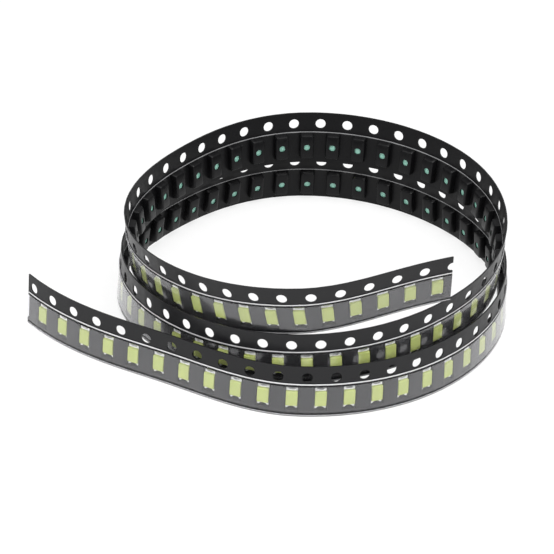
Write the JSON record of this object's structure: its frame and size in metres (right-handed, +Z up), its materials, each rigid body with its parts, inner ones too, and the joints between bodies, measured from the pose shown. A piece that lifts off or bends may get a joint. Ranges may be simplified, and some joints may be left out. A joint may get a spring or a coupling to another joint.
{
  "type": "packed component tape coil",
  "caption": "Loose coil of black embossed carrier tape packed with small chip lights under a clear cover film, feed holes along its upper edge.",
  "frame": {"origin": "centre of the coil's bounding box, on the surface it stands on", "axes": "+Z up, across the tape; the lower free end of the tape is at -X, and the coil's front, where three turns show, faces -Y"},
  "size_m": [0.068, 0.0586, 0.0224],
  "materials": {
    "carrier": "satin",
    "film": "gloss",
    "phosphor_lens": "matte",
    "board": "satin",
    "terminal": "satin"
  },
  "bodies": {
    "root": {"carrier_tape": "carrier", "cover_film": "film", "lens_1": "phosphor_lens", "lens_2": "phosphor_lens", "lens_3": "phosphor_lens", "lens_4": "phosphor_lens", "lens_5": "phosphor_lens", "lens_6": "phosphor_lens", "lens_7": "phosphor_lens", "lens_8": "phosphor_lens", "lens_9": "phosphor_lens", "lens_10": "phosphor_lens", "lens_11": "phosphor_lens", "base_board_1": "board", "base_board_2": "board", "base_board_3": "board", "base_board_4": "board", "base_board_5": "board", "base_board_6": "board", "base_board_7": "board", "base_board_8": "board", "base_board_9": "board", "base_board_10": "board", "base_board_11": "board", "upper_terminal_1": "terminal", "upper_terminal_2": "terminal", "upper_terminal_3": "terminal", "upper_terminal_4": "terminal", "upper_terminal_5": "terminal", "upper_terminal_6": "terminal", "upper_terminal_7": "terminal", "upper_terminal_8": "terminal", "upper_terminal_9": "terminal", "upper_terminal_10": "terminal", "upper_terminal_11": "terminal", "lower_terminal_1": "terminal", "lower_terminal_2": "terminal", "lower_terminal_3": "terminal", "lower_terminal_4": "terminal", "lower_terminal_5": "terminal", "lower_terminal_6": "terminal", "lower_terminal_7": "terminal", "lower_terminal_8": "terminal", "lower_terminal_9": "terminal", "lower_terminal_10": "terminal", "lower_terminal_11": "terminal"}
  },
  "joints": []
}
